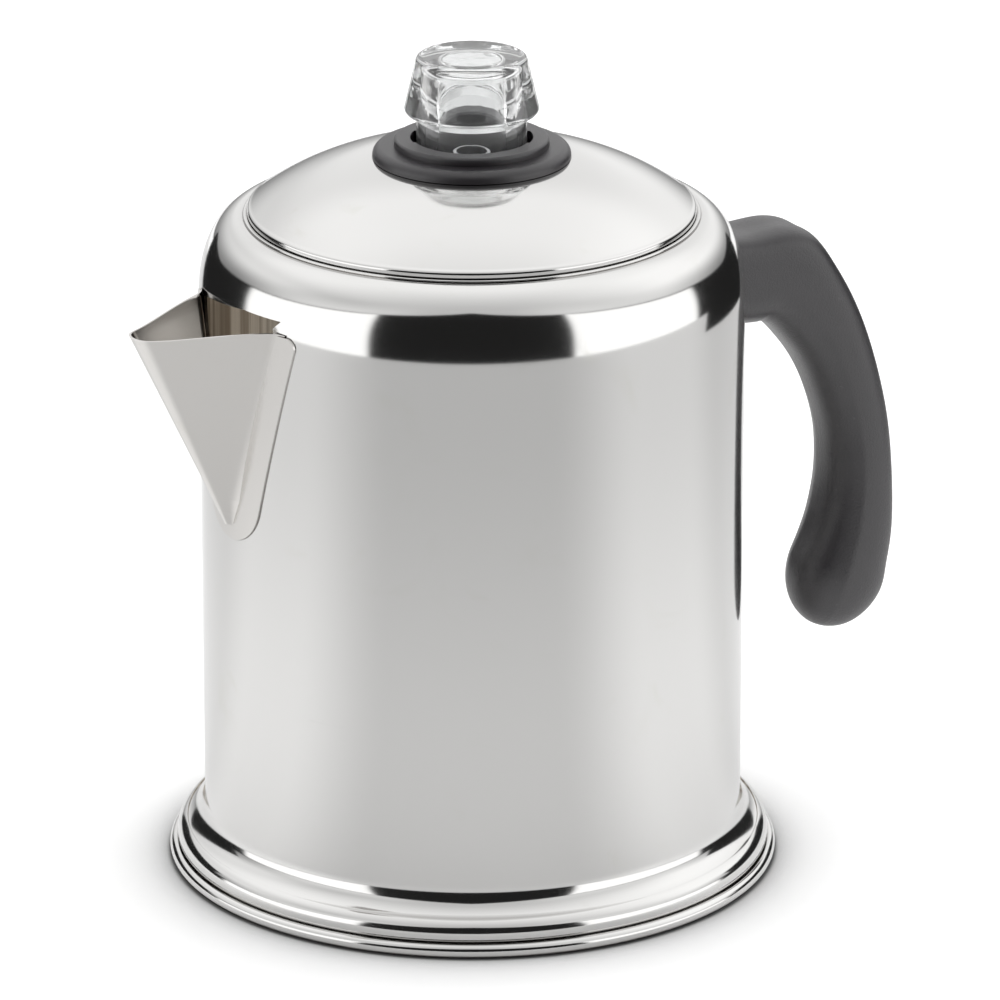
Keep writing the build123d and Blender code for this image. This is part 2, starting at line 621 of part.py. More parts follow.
def make_knob():
    slope = (KNOB_R - KNOB_TOP_R) / (KNOB_TOP_Z - KNOB_WAIST_Z)
    edge_z = KNOB_TOP_Z - KNOB_EDGE_ROUND
    edge_r = KNOB_TOP_R + slope * KNOB_EDGE_ROUND
    top_end = (KNOB_TOP_R - KNOB_EDGE_ROUND, KNOB_TOP_Z)
    flange = (KNOB_FLANGE_R, KNOB_CHAMFER_Z)
    waist = (KNOB_R, KNOB_WAIST_Z)
    outer = turned(Curve() + [
        Polyline((0, KNOB_BOTTOM), (KNOB_NECK_R - KNOB_END_CHAMFER, KNOB_BOTTOM),
                 (KNOB_NECK_R, KNOB_BOTTOM + KNOB_END_CHAMFER), (KNOB_NECK_R, KNOB_NECK_TOP), flange),
        ThreePointArc(flange, KNOB_FLANGE_MIDDLE, waist),
        Line(waist, (edge_r, edge_z)),
        ThreePointArc((edge_r, edge_z), KNOB_EDGE_MIDDLE, top_end),
        Polyline(top_end, (0, KNOB_TOP_Z), (0, KNOB_BOTTOM)),
    ])
    roof = KNOB_TOP_Z - KNOB_ROOF
    inner = drum(KNOB_BORE_R, KNOB_BOTTOM - OVER, roof)
    inner = fillet(inner.edges().group_by(Axis.Z)[-1], KNOB_BORE_ROUND)
    lug_base = COLLAR_TUBE_BOTTOM - LUG_GAP - LUG_HEIGHT
    lugs = Rot(0, 0, NOTCH_TURN - 90) * Pos(0, 0, lug_base) * lug_pair(LUG_R, LUG_HEIGHT, LUG_ANGLE)
    return outer + lugs - inner


# ---------- pump ----------
def make_pump_tube():
    return ring(TUBE_R - TUBE_WALL, TUBE_R, TUBE_BOTTOM, TUBE_TOP)


def make_tube_seat_ring():
    body = ring(TUBE_R, SEAT_RING_R, SEAT_RING_TOP - SEAT_RING_HEIGHT, SEAT_RING_TOP)
    circles = body.edges().filter_by(GeomType.CIRCLE)
    rims = circles.filter_by(lambda edge: edge.radius > TUBE_R + SEAT_RING_ROUND)
    return fillet(rims, SEAT_RING_ROUND)


def bell_path():
    throat = TUBE_R + THIN_SHEET
    foot = FLOOR_Z + SHEET
    return Curve() + [
        Polyline((BELL_FOOT_R, foot), (BELL_FOOT_R, foot + BELL_FOOT_EDGE),
                 (BELL_CHAMBER_R, BELL_CHAMBER_FOOT), (BELL_CHAMBER_R, BELL_CHAMBER_TOP),
                 (throat, BELL_THROAT_Z), (throat, BELL_TOP)),
    ]


def make_pump_base():
    return turned_sheet(bell_path(), THIN_SHEET)


def make_valve_cage():
    disc = drum(BELL_CHAMBER_R - THIN_SHEET, CAGE_Z, CAGE_Z + THIN_SHEET)
    holes = around(CAGE_HOLES, CAGE_HOLE_CIRCLE, drum(CAGE_HOLE_R, CAGE_Z - OVER, CAGE_Z + OVER))
    return disc - holes


def make_pump_valve():
    bottom = CAGE_Z + THIN_SHEET + VALVE_GAP
    return ring(VALVE_BORE_R, VALVE_R, bottom, bottom + VALVE_THICKNESS)


# ---------- coffee basket and spreader ----------
def make_basket_cup():
    bore = SLEEVE_BORE_R + SLEEVE_WALL
    path = Curve() + [
        Line((bore, BASKET_BOTTOM), (BASKET_R - BASKET_CORNER_R, BASKET_BOTTOM)),
        TangentArc((BASKET_R - BASKET_CORNER_R, BASKET_BOTTOM), (BASKET_R, BASKET_BOTTOM + BASKET_CORNER_R),
                   tangent=(1, 0)),
        Line((BASKET_R, BASKET_BOTTOM + BASKET_CORNER_R), (BASKET_R, BASKET_TOP)),
    ]
    cup = turned_sheet(path, THIN_SHEET)
    rim = turned((Pos(BASKET_R, BASKET_TOP, 0) * Circle(BASKET_RIM_R)).edges())
    hole = drum(BASKET_HOLE_R, BASKET_BOTTOM - 1, BASKET_BOTTOM + 2 * THIN_SHEET)
    holes = [copy for circle, count in BASKET_RINGS for copy in around(count, circle, hole)]
    return cup + rim - holes


def make_basket_sleeve():
    tube = ring(SLEEVE_BORE_R, SLEEVE_BORE_R + SLEEVE_WALL, BASKET_BOTTOM, SLEEVE_TOP)
    foot_bottom = BASKET_BOTTOM + THIN_SHEET
    foot = ring(SLEEVE_BORE_R + SLEEVE_WALL / 2, SLEEVE_FOOT_R, foot_bottom, foot_bottom + THIN_SHEET)
    return tube + foot


def make_spreader():
    bore = SLEEVE_BORE_R + SPREADER_BORE_GAP
    low, high = SPREADER_BOTTOM, SPREADER_BOTTOM + SPREADER_DISH
    path = Curve() + [
        Polyline((bore, high), (bore, low + SPREADER_BORE_BEND), (bore + SPREADER_BORE_BEND, low),
                 (SPREADER_R - SPREADER_RIM_BEND, low), (SPREADER_R, low + SPREADER_RIM_BEND),
                 (SPREADER_R, high)),
    ]
    dish = turned_sheet(path, THIN_SHEET)
    hole = drum(SPREADER_HOLE_R, low - 1, low + 2 * THIN_SHEET)
    holes = [copy for circle, count in SPREADER_RINGS for copy in around(count, circle, hole)]
    return dish - holes


save(make_pot_shell(), "pot_shell")
save(make_pot_floor(), "pot_floor")
save(make_heat_disc(), "heat_disc")
save(make_base_cap(), "base_cap")
save(make_spout(), "spout")
save(make_handle(), "handle")
save(make_handle_bracket(), "handle_bracket")
save(make_handle_screw(), "handle_screw")
save(make_handle_washer(), "handle_washer")
save(make_lid_dome(), "lid_dome")
save(make_lid_skirt(), "lid_skirt")
save(make_knob_collar(), "knob_collar")
save(make_collar_retainer(), "collar_retainer")
save(make_knob(), "knob")
save(make_pump_tube(), "pump_tube")
save(make_tube_seat_ring(), "tube_seat_ring")
save(make_pump_base(), "pump_base")
save(make_valve_cage(), "valve_cage")
save(make_pump_valve(), "pump_valve")
save(make_basket_cup(), "basket_cup")
save(make_basket_sleeve(), "basket_sleeve")
save(make_spreader(), "spreader")
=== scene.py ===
import bpy
import bmesh
from math import acos, atan2, cos, degrees, pi, radians, sin, sqrt
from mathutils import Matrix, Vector


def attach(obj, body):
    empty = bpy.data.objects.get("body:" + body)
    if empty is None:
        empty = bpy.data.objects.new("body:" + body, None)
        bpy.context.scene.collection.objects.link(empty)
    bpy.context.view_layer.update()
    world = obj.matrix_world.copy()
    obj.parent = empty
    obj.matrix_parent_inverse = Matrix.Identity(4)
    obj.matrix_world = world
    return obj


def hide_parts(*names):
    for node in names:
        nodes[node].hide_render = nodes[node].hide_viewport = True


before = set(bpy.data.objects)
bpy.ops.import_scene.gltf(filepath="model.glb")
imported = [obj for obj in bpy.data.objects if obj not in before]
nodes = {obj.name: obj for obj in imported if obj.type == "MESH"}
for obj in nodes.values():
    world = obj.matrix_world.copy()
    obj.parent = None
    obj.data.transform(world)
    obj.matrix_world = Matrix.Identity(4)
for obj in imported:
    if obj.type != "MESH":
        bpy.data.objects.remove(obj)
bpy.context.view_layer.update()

MM = 0.001
WALL_R = 70                   # mm, nearly the pot's wall, for patterns that run round it

# ---------- the view ----------
CAMERA_PLACE = Vector((-0.9415, -1.6790, 0.7764))
CAMERA_LOOKS = Vector((0.4643, 0.8207, -0.3329))
CAMERA_LENS = 280.3           # mm
SENSOR_WIDTH = 36.0           # mm
FARTHEST_SEEN = 50.0          # metres
TOWARD = Vector((-CAMERA_LOOKS.x, -CAMERA_LOOKS.y, 0)).normalized()   # level, from the pot to the camera
SIDEWAYS = Vector((-TOWARD.y, TOWARD.x, 0))                           # level, across that


# ---------- shader node helpers ----------
def add(tree, kind, inputs=None, **settings):
    """Adds a node. An input is a value or another node's output."""
    made = tree.nodes.new(kind)
    for name, value in settings.items():
        setattr(made, name, value)
    for key, value in (inputs or {}).items():
        if isinstance(value, bpy.types.NodeSocket):
            tree.links.new(value, made.inputs[key])
        else:
            made.inputs[key].default_value = value
    return made


def calc(tree, operation, *values):
    return add(tree, "ShaderNodeMath", dict(enumerate(values)), operation=operation).outputs[0]


def ramp(tree, value, low, high, out_low=0.0, out_high=1.0, smooth=True):
    """Smooth step from out_low to out_high as the value goes from low to high."""
    made = add(tree, "ShaderNodeMapRange", {0: value, 1: low, 2: high, 3: out_low, 4: out_high},
               interpolation_type="SMOOTHSTEP" if smooth else "LINEAR")
    return made.outputs[0]


def blend(tree, share, first, second):
    """Number between first and second."""
    made = add(tree, "ShaderNodeMix", {0: share, 2: first, 3: second}, data_type="FLOAT", clamp_factor=True)
    return made.outputs[0]


def tint(tree, share, first, second, how="MIX"):
    """Colour between first and second."""
    made = add(tree, "ShaderNodeMix", {0: share, 6: first, 7: second}, data_type="RGBA", blend_type=how,
               clamp_factor=True)
    return made.outputs[2]


def varied(tree, value, pattern, amount):
    """A value that a pattern, which runs from 0 to 1, moves up and down."""
    return calc(tree, "ADD", value, calc(tree, "MULTIPLY", calc(tree, "SUBTRACT", pattern, 0.5), amount))


def grey(value):
    return (value, value, value, 1.0)


def noise(tree, where, scale, detail=2.0, roughness=0.5, distortion=0.0):
    made = add(tree, "ShaderNodeTexNoise", {"Vector": where, "Scale": scale, "Detail": detail,
                                            "Roughness": roughness, "Distortion": distortion})
    return made.outputs[0]


def length(tree, a, b):
    """Length of a level vector with these two parts."""
    return calc(tree, "SQRT", calc(tree, "ADD", calc(tree, "MULTIPLY", a, a), calc(tree, "MULTIPLY", b, b)))


def place(tree):
    """The point in the object's own space, which is the row frame at rest, in metres."""
    return add(tree, "ShaderNodeTexCoord").outputs["Object"]


def stretched(tree, where, x, y, z):
    return add(tree, "ShaderNodeMapping", {"Vector": where, "Scale": (x, y, z)}).outputs[0]


def turned_place(tree):
    """Around and along the Z axis: (distance round the wall, radius, height), in metres."""
    split = add(tree, "ShaderNodeSeparateXYZ", {0: place(tree)})
    x, y, z = split.outputs
    angle = calc(tree, "ARCTAN2", y, x)
    around = calc(tree, "MULTIPLY", angle, WALL_R * MM)
    return add(tree, "ShaderNodeCombineXYZ", {0: around, 1: length(tree, x, y), 2: z}).outputs[0]


def bumped(tree, height, depth, normal=None):
    """Normal from a height field in metres."""
    inputs = {"Height": height, "Distance": depth, "Strength": 1.0}
    if normal is not None:
        inputs["Normal"] = normal
    return add(tree, "ShaderNodeBump", inputs).outputs[0]


def new_material(name):
    made = bpy.data.materials.new(name)
    made.use_nodes = True
    tree = made.node_tree
    tree.nodes.clear()
    return made, tree


def shown(tree, shader):
    """Sends a shader to the material's output."""
    output = add(tree, "ShaderNodeOutputMaterial")
    tree.links.new(shader.outputs[0], output.inputs[0])


def principled(tree, **inputs):
    named = {key.replace("_", " "): value for key, value in inputs.items()}
    shown(tree, add(tree, "ShaderNodeBsdfPrincipled", named))


def drawn_round(tree):
    """Tangent of metal that was turned or drawn round the Z axis."""
    return add(tree, "ShaderNodeTangent", direction_type="RADIAL", axis="Z").outputs[0]


# ---------- materials ----------
# Colour of the painted shade that darkens the steel in crevices
CREVICE_PAINTED_SHADE = (0.06, 0.045, 0.035, 1.0)
# Dark and bright ends of the reflection streaks painted on the pot's inside
PAINTED_STREAK_DARK = (0.30, 0.25, 0.20, 1.0)
PAINTED_STREAK_BRIGHT = (0.78, 0.73, 0.65, 1.0)
COFFEE_CAST = (0.42, 0.35, 0.27, 1.0)


def steel(name, colour, rough, streak=0.03, brushed="around", anisotropy=0.3, marks=0.9, grain=0.0004,
          crevice=1.1):
    """Polished stainless: fine drawn lines, cloudy roughness, hairline scratches, faint stains, and painted
    shade that darkens the colour in crevices narrower than the crevice width in mm."""
    made, tree = new_material(name)
    spot = place(tree)
    if brushed == "around":
        lines_at = stretched(tree, turned_place(tree), 6, 900, 2600)
    else:
        lines_at = stretched(tree, spot, 2600, 2600, 8)
    lines = noise(tree, lines_at, 1.0, 3.0, 0.6)
    cloud = noise(tree, spot, 28.0, 3.0, 0.55, 0.4)
    stains = ramp(tree, noise(tree, spot, 55.0, 4.0, 0.6, 0.8), 0.60, 0.78)
    scratch_at = stretched(tree, turned_place(tree), 60, 60, 1500)
    scratches = ramp(tree, noise(tree, scratch_at, 1.0, 5.0, 0.7, 2.0), 0.68, 0.74)
    roughness = varied(tree, rough, lines, streak)
    roughness = varied(tree, roughness, cloud, 0.05)
    roughness = calc(tree, "ADD", roughness, calc(tree, "MULTIPLY", stains, 0.05 * marks))
    roughness = calc(tree, "ADD", roughness, calc(tree, "MULTIPLY", scratches, 0.12 * marks))
    stained = tuple(c * 0.90 for c in colour[:2]) + (colour[2] * 0.84, 1.0)
    base = tint(tree, calc(tree, "MULTIPLY", stains, 0.35 * marks), (*colour, 1.0), stained)
    base = tint(tree, calc(tree, "MULTIPLY", scratches, 0.12 * marks), base, grey(0.35))
    # Painted shade: the colour turns dark brown where ambient occlusion finds a crevice
    open_sky = add(tree, "ShaderNodeAmbientOcclusion", {"Distance": crevice * MM}, samples=8).outputs["AO"]
    base = tint(tree, ramp(tree, open_sky, 0.45, 0.80, 1.0, 0.0), base, CREVICE_PAINTED_SHADE)
    height = calc(tree, "MULTIPLY", calc(tree, "SUBTRACT", lines, scratches), grain)
    principled(tree, Base_Color=base, Metallic=1.0, Roughness=roughness, Anisotropic=anisotropy,
               Tangent=drawn_round(tree), Normal=bumped(tree, height, MM))
    return made


def phenolic(name, colour, rough, pebble=0.05, pebble_scale=1500.0, sheen=0.45):
    """Moulded black plastic with a fine pebbled face and slightly worn highlights."""
    made, tree = new_material(name)
    spot = place(tree)
    grain = noise(tree, spot, pebble_scale, 3.0, 0.65)
    soft = noise(tree, spot, 60.0, 3.0, 0.5)
    dust = ramp(tree, noise(tree, spot, 900.0, 2.0, 0.6, 0.5), 0.66, 0.80)
    roughness = varied(tree, rough, soft, 0.12)
    paler = tuple(c * 1.6 for c in colour)
    base = tint(tree, soft, (*colour, 1.0), (*paler, 1.0))
    base = tint(tree, calc(tree, "MULTIPLY", dust, 0.10), base, grey(0.25))
    principled(tree, Base_Color=base, Roughness=roughness, Specular_IOR_Level=sheen,
               Normal=bumped(tree, grain, pebble * MM))
    return made


def clear_plastic(name):
    """Moulded clear plastic: slight cloudiness, tiny waviness and hairlines."""
    made, tree = new_material(name)
    spot = place(tree)
    waves = noise(tree, spot, 90.0, 2.0, 0.5)
    haze = noise(tree, spot, 240.0, 3.0, 0.6)
    roughness = ramp(tree, haze, 0.35, 0.8, 0.01, 0.06)
    base = tint(tree, haze, (0.985, 0.99, 0.99, 1.0), (0.94, 0.95, 0.95, 1.0))
    principled(tree, Base_Color=base, Roughness=roughness, IOR=1.49, Transmission_Weight=0.955,
               Normal=bumped(tree, waves, 0.25 * MM))
    return made


def spun_metal(name, colour, rough, rings=2200.0):
    """Aluminium or plain steel with lathe rings and a matt cast."""
    made, tree = new_material(name)
    spot = place(tree)
    rings_at = stretched(tree, turned_place(tree), 4, rings, rings)
    lines = noise(tree, rings_at, 1.0, 3.0, 0.65)
    cloud = noise(tree, spot, 45.0, 3.0, 0.6, 0.5)
    roughness = varied(tree, rough, lines, 0.14)
    darker = tuple(c * 0.86 for c in colour)
    base = tint(tree, cloud, (*colour, 1.0), (*darker, 1.0))
    principled(tree, Base_Color=base, Metallic=1.0, Roughness=roughness, Anisotropic=0.4,
               Tangent=drawn_round(tree), Normal=bumped(tree, lines, 0.0012 * MM))
    return made


def pot_inside(name):
    """Satin steel of the pot's inside, with upright reflection streaks painted into its colour and a warm
    coffee cast.
    """
    made, tree = new_material(name)
    turned_at = turned_place(tree)
    streaks = noise(tree, stretched(tree, turned_at, 260, 0, 5), 1.0, 3.0, 0.6)
    lines = noise(tree, stretched(tree, turned_at, 6, 900, 2600), 1.0, 3.0, 0.6)
    cast = noise(tree, place(tree), 40.0, 3.0, 0.55, 0.4)
    # Painted reflection: upright dark and bright bands in the colour stand in for the streaks that the
    # inner wall mirrors
    base = tint(tree, ramp(tree, streaks, 0.38, 0.62), PAINTED_STREAK_DARK, PAINTED_STREAK_BRIGHT)
    base = tint(tree, calc(tree, "MULTIPLY", cast, 0.35), base, COFFEE_CAST)
    roughness = calc(tree, "ADD", 0.24, calc(tree, "MULTIPLY", cast, 0.16))
    principled(tree, Base_Color=base, Metallic=1.0, Roughness=roughness, Anisotropic=0.75,
               Tangent=drawn_round(tree), Normal=bumped(tree, lines, 0.0008 * MM))
    return made


STEEL = (0.68, 0.675, 0.665)
FINISHES = {
    "polished_steel": steel("polished_steel", STEEL, 0.10),
    "spout_steel": steel("spout_steel", (0.66, 0.645, 0.625), 0.18, 0.05, "along", 0.2),
    "lid_steel": steel("lid_steel", STEEL, 0.10, crevice=0.5),
    "inner_steel": spun_metal("inner_steel", (0.58, 0.57, 0.56), 0.30),
    "heat_aluminium": spun_metal("heat_aluminium", (0.70, 0.70, 0.71), 0.42),
    "pump_aluminium": spun_metal("pump_aluminium", (0.74, 0.74, 0.75), 0.32),
    "fastener_steel": spun_metal("fastener_steel", (0.52, 0.51, 0.50), 0.25, 4000.0),
    "handle_phenolic": phenolic("handle_phenolic", (0.016, 0.014, 0.0165), 0.35, 0.12, 1900.0, 0.85),
    "collar_phenolic": phenolic("collar_phenolic", (0.016, 0.014, 0.0165), 0.35, 0.08, 2400.0, 0.75),
    "knob_clear": clear_plastic("knob_clear"),
}


def slot_name(material):
    """The record's slot: Blender adds a number to a name that is already taken."""
    return material.name.split(".")[0]


def dress_nodes():
    """Gives every node the finish that its material slot names."""
    for piece in nodes.values():
        for held in piece.material_slots:
            held.material = FINISHES[slot_name(held.material)]


# ---------- turned sheet pieces ----------
# Sizes are in mm, heights are above the floor, angles are in degrees, and points are (radius, height).
SHEET = 0.8
BODY_R = 71.0
WALL_TOP = 154.0
SHOULDER_R = 59.3
SHOULDER_TOP = 175.6
SHOULDER_POWER = 2.15         # superellipse exponent of the shoulder
NECK_TOP = 176.2
NECK_BORE_R = 57.7
NECK_ROUND = 0.3
FILLET_R = 7.5                # sweep between the wall and the skirt
FILLET_TOP = 16.2
BEAD_CENTRE = (74.1, 5.5)
BEAD_R = 4.3
BEAD_START = -20.0
TURN_STEPS = 384
SHARP_EDGE = 32.0


def arc(centre, radius, start, end, steps):
    """Points (radius, height) along an arc, in mm, from a start to an end angle in degrees."""
    turns = [radians(start + (end - start) * i / steps) for i in range(steps + 1)]
    return [(centre[0] + radius * cos(t), centre[1] + radius * sin(t)) for t in turns]


def link(name, mesh, material, body, *stands_for):
    """Puts a finished mesh in the scene as a piece of the object."""
    mesh.materials.append(material)
    mesh.polygons.foreach_set("use_smooth", [True] * len(mesh.polygons))
    mesh.set_sharp_from_angle(angle=radians(SHARP_EDGE))
    piece = bpy.data.objects.new(name, mesh)
    bpy.context.scene.collection.objects.link(piece)
    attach(piece, body)
    if stands_for:
        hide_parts(*stands_for)


def turned(outline, steps=TURN_STEPS):
    """Mesh of revolution about Z from a closed outline in mm."""
    work = bmesh.new()
    rings = []
    for i in range(steps):
        angle = 2 * pi * i / steps
        c, s = cos(angle) * MM, sin(angle) * MM
        rings.append([work.verts.new((r * c, r * s, z * MM)) for r, z in outline])
    count = len(outline)
    for i in range(steps):
        here, there = rings[i], rings[(i + 1) % steps]
        for j in range(count):
            k = (j + 1) % count
            work.faces.new((here[j], there[j], there[k], here[k]))
    bmesh.ops.recalc_face_normals(work, faces=work.faces)
    mesh = bpy.data.meshes.new("turned")
    work.to_mesh(mesh)
    work.free()
    return mesh


def skirt_tilt():
    """Angle at which the bead's arc meets the sweep's arc."""
    across = BODY_R + FILLET_R - BEAD_CENTRE[0]
    up = FILLET_TOP - BEAD_CENTRE[1]
    reach = min((FILLET_R + BEAD_R) / sqrt(across * across + up * up), 1)
    return degrees(atan2(up, across) - acos(reach))


def shoulder(inset, steps=56):
    """The shoulder's quarter superellipse, from the wall in to the neck."""
    width, height = BODY_R - SHOULDER_R, SHOULDER_TOP - WALL_TOP - inset
    power = 2 / SHOULDER_POWER
    turns = [pi / 2 * i / steps for i in range(steps + 1)]
    return [(SHOULDER_R - inset + width * max(cos(t), 0) ** power, WALL_TOP + height * sin(t) ** power)
            for t in turns]


def pot_side(inset):
    """The pot's outline from its bead to the shoulder's top, moved into the sheet by the inset."""
    tilt = skirt_tilt()
    sweep_centre = (BODY_R + FILLET_R, FILLET_TOP)
    bead = arc(BEAD_CENTRE, BEAD_R - inset, BEAD_START, tilt, 40)
    sweep = arc(sweep_centre, FILLET_R + inset, 180 + tilt, 180, 30)
    return bead + sweep + shoulder(inset)


def pot_outline():
    """Closed outline of the pot's sheet: outside, neck with its rounded lip, and inside."""
    lip_z = NECK_TOP - NECK_ROUND
    neck = [(SHOULDER_R, SHOULDER_TOP)]
    neck += arc((SHOULDER_R - NECK_ROUND, lip_z), NECK_ROUND, 0, 90, 8)
    neck += arc((NECK_BORE_R + NECK_ROUND, lip_z), NECK_ROUND, 90, 180, 8)
    neck += [(NECK_BORE_R, SHOULDER_TOP - SHEET)]
    return pot_side(0)[:-1] + neck + pot_side(SHEET)[-2::-1]


def cut(mesh, cutter):
    """The mesh with the cutter's space taken away."""
    target = bpy.data.objects.new("target", mesh)
    tool = bpy.data.objects.new("tool", cutter)
    for item in (target, tool):
        bpy.context.scene.collection.objects.link(item)
    change = target.modifiers.new("cut", "BOOLEAN")
    change.operation = "DIFFERENCE"
    change.solver = "EXACT"
    change.object = tool
    bpy.context.view_layer.update()
    evaluated = target.evaluated_get(bpy.context.evaluated_depsgraph_get())
    made = bpy.data.meshes.new_from_object(evaluated)
    bpy.data.objects.remove(target)
    bpy.data.objects.remove(tool)
    return made


def prism(outline, start, end):
    """Closed prism along X from (y, z) points in mm."""
    mesh = bpy.data.meshes.new("prism")
    count = len(outline)
    points = [(x * MM, y * MM, z * MM) for x in (start, end) for y, z in outline]
    faces = [tuple(range(count))[::-1], tuple(range(count, 2 * count))]
    faces += [(i, (i + 1) % count, count + (i + 1) % count, count + i) for i in range(count)]
    mesh.from_pydata(points, [], faces)
    work = bmesh.new()
    work.from_mesh(mesh)
    bmesh.ops.recalc_face_normals(work, faces=work.faces)
    work.to_mesh(mesh)
    work.free()
    return mesh


# Outline in (y, z) of the mouth behind the spout, trimmed by hand at its top
MOUTH = ((-20.7, 162.6), (-6.0, 162.2), (12.0, 159.9), (19.6, 158.6), (17.2, 150.0), (3.6, 112.0),
         (-3.6, 112.0), (-17.2, 150.0), (-19.0, 158.4), (-18.2, 160.2))


MOUTH_CUT = (-80.0, -40.0)     # from outside the wall to inside it, along X


def build_pot_shell():
    """The pot's drawn body, with a satin finish and painted reflection streaks on its inner faces."""
    shell = cut(turned(pot_outline()), prism(MOUTH, *MOUTH_CUT))
    link("pot_shell_sheet", shell, FINISHES["polished_steel"], "pot", "pot_shell")
    shell.materials.append(pot_inside("pot_inside"))
    for face in shell.polygons:
        outward = face.normal.x * face.center.x + face.normal.y * face.center.y
        if outward < 0 and face.center.z < SHOULDER_TOP * MM:
            face.material_index = 1


CAP_RIM_R = 80.4
CAP_BEAD_R = 1.84
CAP_BEAD_END = 205.0
CAP_WALL_R = 75.3
CAP_TOP = 4.0
CENTRE_R = 0.05               # a turned outline stops just short of the axis


def build_base_cap():
    """Flat disc with a rolled rim and an inner upright wall."""
    rim = arc((CAP_RIM_R - CAP_BEAD_R, CAP_BEAD_R), CAP_BEAD_R, -90, CAP_BEAD_END, 64)
    inside = CAP_WALL_R - SHEET
    wall = [(CAP_WALL_R, SHEET), (CAP_WALL_R, CAP_TOP), (inside, CAP_TOP), (inside, SHEET)]
    middle = [(CENTRE_R, SHEET), (CENTRE_R, 0)]
    link("base_cap_sheet", turned(rim + wall + middle), FINISHES["polished_steel"], "pot", "base_cap")


LID_R = 58.2
LID_RIM_BOTTOM = 176.5
LID_EDGE_Z = 177.2
LID_EDGE_FALL = 0.4           # how far the rolled edge's start drops for each mm of inset
LID_DOME_CENTRE = (16.1, 120.95)
LID_DOME_START = (57.4, 178.22)
LID_HOLE_R = 18.3


def lid_side(inset):
    """One side of the lid's sheet: upright rim, rolled edge and dome, moved into the sheet by the inset."""
    centre_r, centre_z = LID_DOME_CENTRE
    full = sqrt((LID_DOME_START[0] - centre_r) ** 2 + (LID_DOME_START[1] - centre_z) ** 2)
    start = degrees(acos((LID_DOME_START[0] - centre_r) / full))
    end = degrees(acos((LID_HOLE_R - centre_r) / (full - inset)))
    dome = arc(LID_DOME_CENTRE, full - inset, start, end, 72)
    rim, edge_z = LID_R - inset, LID_EDGE_Z - inset * LID_EDGE_FALL
    across, up = rim - dome[0][0], dome[0][1] - edge_z
    round_r = (across * across + up * up) / (2 * across)
    roll = arc((rim - round_r, edge_z), round_r, 0, degrees(atan2(up, round_r - across)), 16)
    return [(rim, LID_RIM_BOTTOM)] + roll + dome[1:]


def build_lid():
    outline = lid_side(0) + lid_side(SHEET)[::-1]
    link("lid_dome_sheet", turned(outline), FINISHES["lid_steel"], "lid", "lid_dome")


# ---------- studio ----------
# One large overhead tent that comes lower to the sides, a dark card behind the camera, a light on each side
# of it, and a dark flag beyond each light. Turns are in degrees from the camera's side, rises in degrees
# above the level, and places on the tent in heights of the tent. Pairs are where a change starts and ends.
DARK = 0.018
CARD_HALF = 43.0
CARD_SOFT = 1.5
BOX_END = 108.0
BOX_SOFT = 2.0
BOX_LIGHT = 1.55
FLAG_END = 150.0
FLAG_SOFT = 6.0
BEHIND_LIGHT = 1.30
SEEN_WORLD = 1.05

TENT_RISE = 43.5              # rise of the tent's lower edge straight ahead
TENT_DROP = 0.30              # how much lower that edge is for each degree of turn
TENT_SOFT = 0.7
TENT_FADE = 20.0              # how far above its edge the tent reaches its full light
TENT_FROM_FRONT = (0.95, -0.5)
TENT_FRONT_LIGHT = 0.72
TENT_BACK_LIGHT = 1.24
TENT_TO_SIDE = (0.2, 0.9)
TENT_SIDE_GAIN = 1.12
TENT_TO_RIGHT = (-1.3, -0.3)
TENT_LEFT_GAIN = 0.76
LOW_RISE = (26.0, 46.0)       # below these rises the tent is dimmer behind the pot
LOW_TURN = (120.0, 165.0)
LOW_GAIN = 0.84
EDGE_FRONT_TURN = (15.0, 55.0)
EDGE_BACK_TURN = (88.0, 140.0)
EDGE_BACK_LIGHT = 0.30
LEFT_SKEW = 14.0              # the tent's edge dims sooner on the left
LEFT_TO_RIGHT = (-0.2, 0.2)
GAP = (0.2, 1.3)              # thin dark seam between the tent and the lights under it
GAP_LIGHT = 0.35
GAP_TURN = (40.0, 50.0)
LEAST_HEIGHT = 0.02

FLOOR_R = 1.0                 # metres, as all sizes of the floor and the flags
FAR_FLOOR_R = 12.0
FAR_FLOOR_Z = -0.002
SEEN_FLOOR = 1.30
TO_BOX_TURN = (30.0, 70.0)
TO_FLAG_TURN = (95.0, 120.0)
TO_BEHIND_TURN = (140.0, 165.0)
MIRRORED_FRONT = 0.785
MIRRORED_SIDE = 1.11
MIRRORED_BY_FLAG = 0.93
FLOOR_REACH = (0.14, 0.52)
FLOOR_NEAR_GAIN = 1.10
FLOOR_FAR_GAIN = 0.84
SHADOW_REACH = 0.022
SHADOW_OPEN = (0.50, 0.99)    # how open the floor is from its darkest place to where the shadow ends
SHADOW_DARKEST = 0.12

FLAG_START = 109.0
FLAG_R = 0.57
FLAG_HEIGHT = 0.195
FLAG_STEPS = 12

# Place, direction, width, height and brightness of each lamp in the pot: between the basket and the wall
LAMP_COLOUR = (1.0, 0.95, 0.88)
WALL_LAMP = ((34, 52, 116), (-1.0, 0.0, 0.0), 10, 60, 1.3)
MOUTH_LAMP = ((-52, 5, 148), (-1.0, 0.1, 0.0), 16, 26, 0.26)


def across_view(tree, where):
    """Distance toward the camera, and distance across the view with its sign."""
    ahead, across = [add(tree, "ShaderNodeVectorMath", {0: where, 1: along}, operation="DOT_PRODUCT")
                     for along in (TOWARD, SIDEWAYS)]
    return ahead.outputs["Value"], across.outputs["Value"]


def angle(tree, opposite, beside):
    """Angle in degrees from its two sides."""
    return calc(tree, "MULTIPLY", calc(tree, "ARCTAN2", opposite, beside), 180 / pi)


